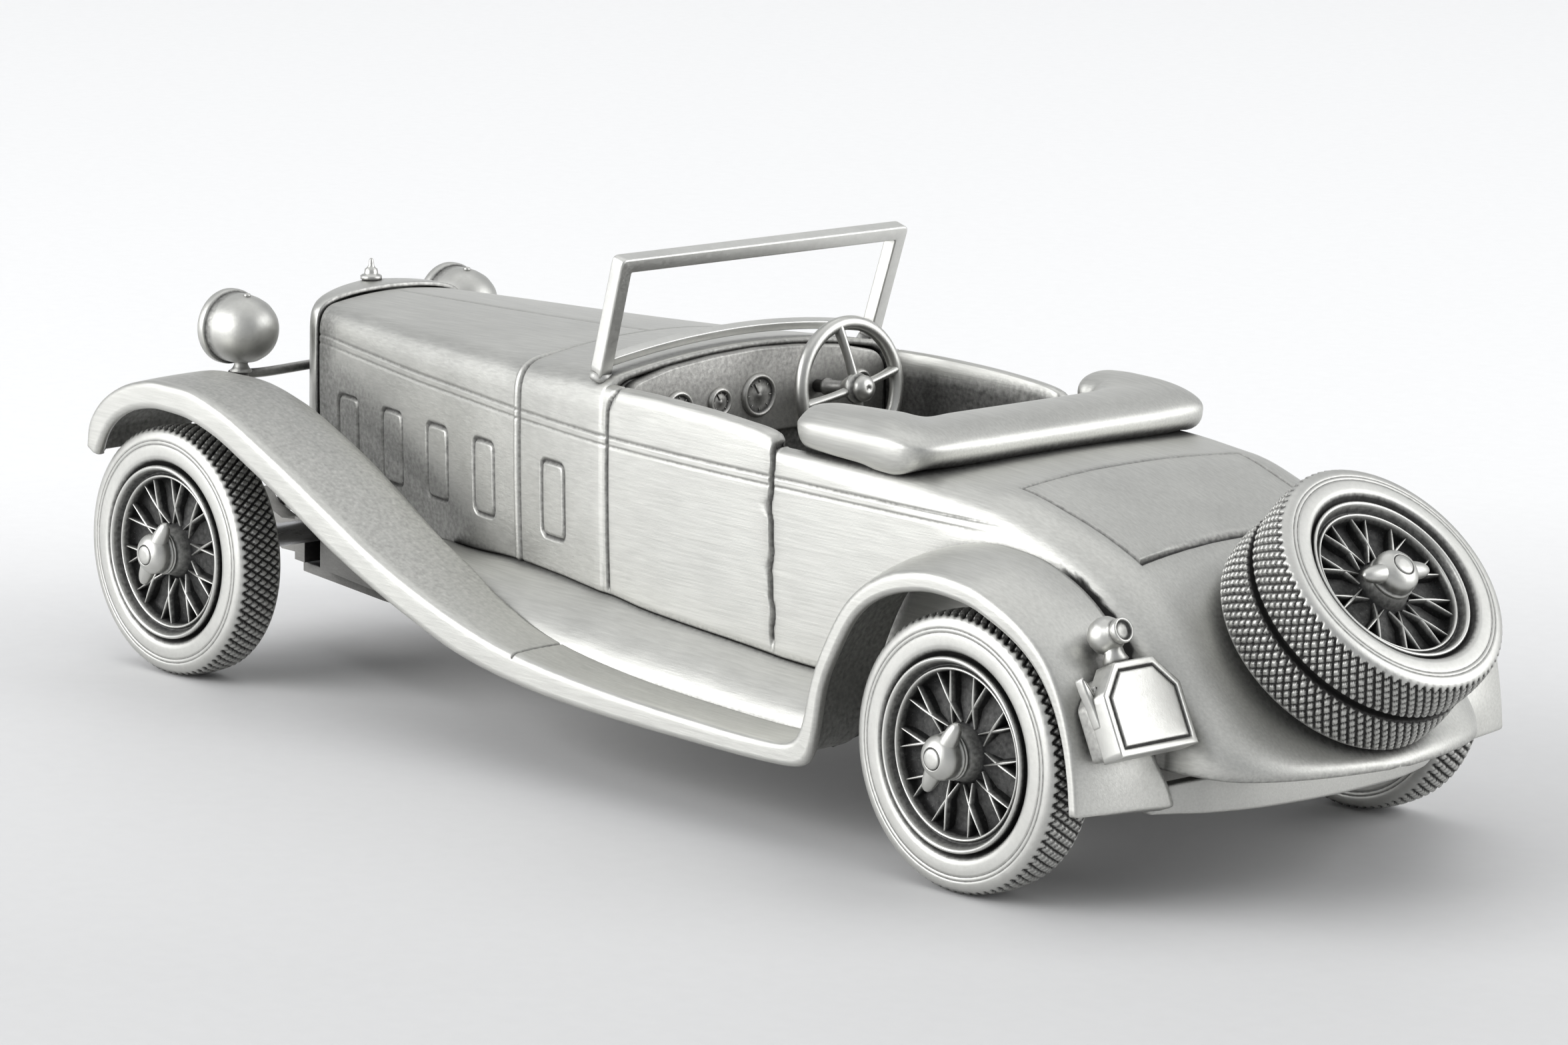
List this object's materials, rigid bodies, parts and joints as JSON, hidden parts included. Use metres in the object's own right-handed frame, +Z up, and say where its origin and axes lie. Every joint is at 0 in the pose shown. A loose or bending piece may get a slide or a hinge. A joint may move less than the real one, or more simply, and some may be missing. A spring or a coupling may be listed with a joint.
{
  "type": "diecast collector car",
  "caption": "Satin pewter collector model of a vintage open two-seater with rolling wire wheels, sweeping wings, a folded top and a rear-mounted spare wheel.",
  "frame": {"origin": "on the ground under the middle of the car's bounding box", "axes": "+X forward along the car, +Y to the car's left, +Z up"},
  "size_m": [0.114, 0.0444, 0.0353],
  "materials": {
    "body_pewter": "satin cast pewter, brushed and lightly burnished",
    "wings_pewter": "satin cast pewter, burnished on the crests",
    "chassis_pewter": "satin cast pewter, lightly grained",
    "bright_fittings": "bright cast pewter with dark patina in the recesses",
    "tyres_pewter": "satin cast pewter, dark patina between the tread blocks",
    "wheels_patina": "dark patina behind bright burnished spokes",
    "cockpit_patina": "dark patinated pewter",
    "steel": "plain turned steel"
  },
  "bodies": {
    "body": {"body_shell": "body_pewter", "chassis_plate": "chassis_pewter", "base_plate": "chassis_pewter", "base_screw_front": "steel", "base_screw_rear": "steel", "wing_left": "wings_pewter", "wing_right": "wings_pewter", "splash_apron_left": "wings_pewter", "splash_apron_right": "wings_pewter", "rear_valance": "chassis_pewter", "front_apron": "chassis_pewter", "radiator": "body_pewter", "radiator_cap": "bright_fittings", "headlamp_left": "bright_fittings", "headlamp_right": "bright_fittings", "headlamp_bar": "bright_fittings", "windscreen_frame": "bright_fittings", "dashboard": "cockpit_patina", "steering_wheel": "bright_fittings", "steering_column": "cockpit_patina", "bench_seat": "cockpit_patina", "folded_top": "body_pewter", "number_plate_box": "bright_fittings", "tail_lamp": "bright_fittings", "spare_tyre_outer": "tyres_pewter", "spare_tyre_inner": "tyres_pewter", "spare_wire_wheel": "wheels_patina", "spare_hub_nut": "bright_fittings", "spare_carrier": "wheels_patina"},
    "front_wheelset": {"front_axle": "steel", "tyre_front_left": "tyres_pewter", "wire_wheel_front_left": "wheels_patina", "hub_nut_front_left": "bright_fittings", "tyre_front_right": "tyres_pewter", "wire_wheel_front_right": "wheels_patina", "hub_nut_front_right": "bright_fittings"},
    "rear_wheelset": {"rear_axle": "steel", "tyre_rear_left": "tyres_pewter", "wire_wheel_rear_left": "wheels_patina", "hub_nut_rear_left": "bright_fittings", "tyre_rear_right": "tyres_pewter", "wire_wheel_rear_right": "wheels_patina", "hub_nut_rear_right": "bright_fittings"}
  },
  "joints": [
    {"name": "front_axle_spin", "type": "hinge", "parent": "body", "child": "front_wheelset", "pos_m": [0.0479, 0, 0.00906], "axis": [0, 1, 0], "continuous": true},
    {"name": "rear_axle_spin", "type": "hinge", "parent": "body", "child": "rear_wheelset", "pos_m": [-0.0331, 0, 0.00906], "axis": [0, 1, 0], "continuous": true}
  ]
}
